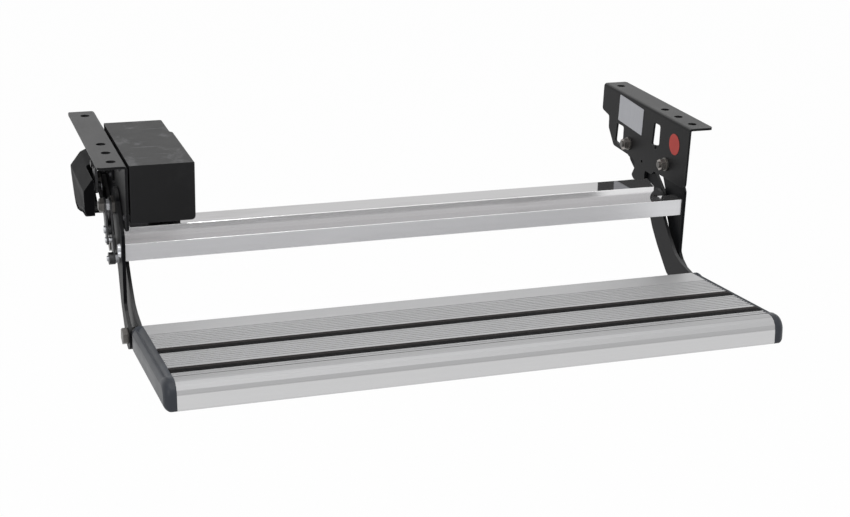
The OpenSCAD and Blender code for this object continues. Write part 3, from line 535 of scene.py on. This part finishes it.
cap_plastic = Finish("cap_plastic", specular=0.35)
cap_cloud = cap_plastic.noise(35, detail=4)
cap_rub = cap_plastic.step(
    cap_plastic.noise(60, detail=4, stretch=(1, 0.3, 1)), 0.58, 0.72)
cap_colour = cap_plastic.blend(cap_cloud, (0.015, 0.018, 0.025), (0.022, 0.026, 0.034))
cap_colour = cap_plastic.blend(cap_rub * 0.4, cap_colour, (0.06, 0.07, 0.085))
cap_plastic.wear(
    cap_colour, 0.34 + 0.14 * cap_cloud, cap_plastic.noise(900), depth=0.00004, strength=0.5)


def cap_ring(shape, away, drawn_in, dip):
    """One closed outline of the cap, in the tread's own axes."""
    nose = nose_radius - 0.6 * drawn_in
    rear = top = -drawn_in
    front, low = -cap_length + drawn_in, -cap_height + drawn_in
    flat = [(trough_rear, dip), (trough_front, dip), (flat_front, 0)]
    spots = [Vector((away, y, top - depth)) for y, depth in flat]
    corners = [
        (front + nose, top - nose, nose, 90, 8),
        (front + toe_radius, low + toe_radius, toe_radius, 180, 3),
        (rear - heel_radius, low + heel_radius, heel_radius, 270, 2),
        (rear - heel_radius, top - heel_radius, heel_radius, 0, 2)]
    for y, z, radius, start, parts in corners:
        for part in range(parts + 1):
            angle = math.radians(start + 90 * part / parts)
            spots.append(
                Vector((away, y + radius * math.cos(angle), z + radius * math.sin(angle))))
    verts = [shape.verts.new(spot) for spot in spots]
    return [shape.edges.new(pair) for pair in zip(verts, verts[1:] + verts[:1])]


def end_cap(side):
    """A cap in the tread's own axes, open towards the tread, then laid at its end."""
    cap = bmesh.new()
    loops = [cap_ring(cap, *ring) for ring in cap_rings]
    for loop, further in zip(loops, loops[1:]):
        bmesh.ops.bridge_loops(cap, edges=loop + further)
    bmesh.ops.holes_fill(cap, edges=loops[-1])
    bmesh.ops.recalc_face_normals(cap, faces=cap.faces)
    for y in (trough_rear, groove_front):
        cut(cap, (0, y, 0), (0, 1, 0))
    for z in (groove_top, groove_bottom):
        cut(cap, (0, 0, z), (0, 0, 1))
    cap.normal_update()
    lane = [
        face for face in cap.faces
        if face.normal.x > 0.99
        and groove_bottom < face.calc_center_median().z < groove_top
        and groove_front < face.calc_center_median().y < trough_rear
    ]
    walls = bmesh.ops.extrude_face_region(cap, geom=lane)["geom"]
    groove_floor = [part for part in walls if isinstance(part, bmesh.types.BMVert)]
    bmesh.ops.translate(cap, verts=groove_floor, vec=(-groove_depth, 0, 0))
    bmesh.ops.rotate(cap, verts=cap.verts, matrix=Matrix.Rotation(-tread_tilt, 3, "X"))
    bmesh.ops.translate(cap, verts=cap.verts, vec=tread_rear + Vector((cap_inner, 0, 0)))
    if side == "left":
        bmesh.ops.scale(cap, verts=cap.verts, vec=(-1, 1, 1))
    for face in cap.faces:
        face.smooth = True
    piece = into_mesh(f"moulded_cap_{side}", cap, cap_plastic, "step")
    piece.data.set_sharp_from_angle(angle=sharp_angle)
    wall = piece.modifiers.new("wall", "SOLIDIFY")
    wall.thickness = cap_wall
    wall.offset = -1
    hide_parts(f"end_cap_{side}")


end_cap("left")
end_cap("right")
dress(zinc, "tread_screws")


# Pivot bolts, nuts and washers
# Shoulder bolts with a grey flake coating turn in the bushes. Lock nuts of browned zinc
# and washers of dull zinc hold them inside the plates, with nylon rings between these.
grey_flake = plated_steel("grey_flake", (0.16, 0.153, 0.146), 0.36)
dress(grey_flake, "pivot_bolts", "drive_pivot_bolt", "tread_pivot_bolts", "coupler_studs",
      "rear_link_pins")
browned_zinc = plated_steel("browned_zinc", (0.36, 0.335, 0.315), 0.30)
dress(browned_zinc, "pivot_nuts", "tread_pivot_nuts", "coupler_nuts")
dull_zinc = plated_steel("dull_zinc", (0.20, 0.19, 0.18), 0.38)
dress(dull_zinc, "pivot_washers", "tread_pivot_spacers")
nylon = Finish("natural_nylon")
milk = nylon.noise(200)
nylon.wear(nylon.blend(milk, (0.70, 0.68, 0.62), (0.62, 0.60, 0.54)), 0.4 + 0.1 * milk)
dress(nylon, "thrust_washers")


# Studio
# The step hangs above a plain white sweep under large soft lamps, seen by a camera
# that stands in front of it, a little to the left and above.
floor_height = -0.62
floor_reach = 12
floor_glow_share = 0.975


def in_view(finish, *kinds):
    """1 for rays of these kinds, by which it is seen, and 0 for rays that only light."""
    view, *others = [
        finish.node("ShaderNodeLightPath", output=f"Is {kind} Ray") for kind in kinds]
    for ray in others:
        view = finish.maths("MAXIMUM", view, ray)
    return view


floor_finish = Finish("white_sweep", specular=0.1)
floor_finish.wear((0.86, 0.86, 0.86), 0.9)
floor_seen = in_view(floor_finish, "Camera", "Glossy", "Transmission")
lit_floor = Wire(floor_finish, floor_finish.shader.outputs[0])
glowing_floor = floor_finish.node("ShaderNodeEmission", Color=(1, 1, 1), Strength=1.0)
floor_mix = floor_finish.node(
    "ShaderNodeMixShader", _0=floor_seen * floor_glow_share, _1=lit_floor, _2=glowing_floor)
floor_finish.feed(floor_finish.tree.nodes["Material Output"].inputs["Surface"], floor_mix)
sweep = bmesh.new()
bmesh.ops.create_grid(sweep, x_segments=1, y_segments=1, size=floor_reach)
bmesh.ops.translate(sweep, verts=sweep.verts, vec=(0, 0, floor_height))
floor_mesh = bpy.data.meshes.new("floor")
sweep.to_mesh(floor_mesh)
sweep.free()
floor = bpy.data.objects.new("floor", floor_mesh)
floor_mesh.materials.append(floor_finish.material)
bpy.context.scene.collection.objects.link(floor)


class Sky(Finish):
    """The nodes of the world, wired like those of a finish."""

    def __init__(self, world):
        world.use_nodes = True
        self.tree = world.node_tree
        self.tree.nodes.clear()


world = bpy.data.worlds.new("studio")
bpy.context.scene.world = world
sky = Sky(world)
dim_sky = sky.node("ShaderNodeBackground", Color=(1, 1, 1), Strength=0.55)
white_sky = sky.node("ShaderNodeBackground", Color=(1, 1, 1), Strength=1.0)
sky_mix = sky.node(
    "ShaderNodeMixShader", _0=in_view(sky, "Camera", "Glossy"), _1=dim_sky, _2=white_sky)
sky.feed(sky.tree.nodes.new("ShaderNodeOutputWorld").inputs["Surface"], sky_mix)


def softbox(name, spot, aim, size, power):
    """A rectangular area lamp at a spot, turned towards what it is aimed at."""
    lamp = bpy.data.lights.new(name, "AREA")
    lamp.shape = "RECTANGLE"
    lamp.size, lamp.size_y = size
    lamp.energy = power
    holder = bpy.data.objects.new(name, lamp)
    bpy.context.scene.collection.objects.link(holder)
    holder.location = spot
    holder.rotation_euler = (Vector(aim) - Vector(spot)).to_track_quat("-Z", "Y").to_euler()


softbox("overhead", (0.1, -0.6, 2.2), aim=(0, -0.1, -0.1), size=(2.4, 1.6), power=17)
softbox("front_left", (-1.9, -2.2, 1.0), aim=(-0.1, 0, -0.1), size=(1.4, 1.4), power=20)
softbox("right", (2.2, -1.2, 0.6), aim=(0.1, 0, -0.1), size=(1.2, 1.4), power=3.5)
softbox("front_strip", (0.36, -2.20, 2.3), aim=(-0.13, -0.1, -0.1), size=(0.24, 1.2), power=9)

camera = bpy.data.cameras.new("camera")
camera.sensor_fit = "HORIZONTAL"
camera.sensor_width = 36
camera.lens = 69.2
camera_spot = Vector((-0.60025, -1.83877, 0.50836))
yaw, pitch, roll = -0.339, -0.341, 0.029
facing = Vector((
    -math.sin(yaw) * math.cos(pitch), math.cos(yaw) * math.cos(pitch), math.sin(pitch)))
level = Vector((math.cos(yaw), math.sin(yaw), 0))
above = level.cross(facing)
to_right = level * math.cos(roll) + above * math.sin(roll)
to_top = above * math.cos(roll) - level * math.sin(roll)
turned = Matrix((to_right, to_top, -facing)).transposed().to_4x4()
tripod = bpy.data.objects.new("camera", camera)
tripod.matrix_world = Matrix.Translation(camera_spot) @ turned
bpy.context.scene.collection.objects.link(tripod)
bpy.context.scene.camera = tripod
bpy.context.scene.view_settings.view_transform = "Standard"
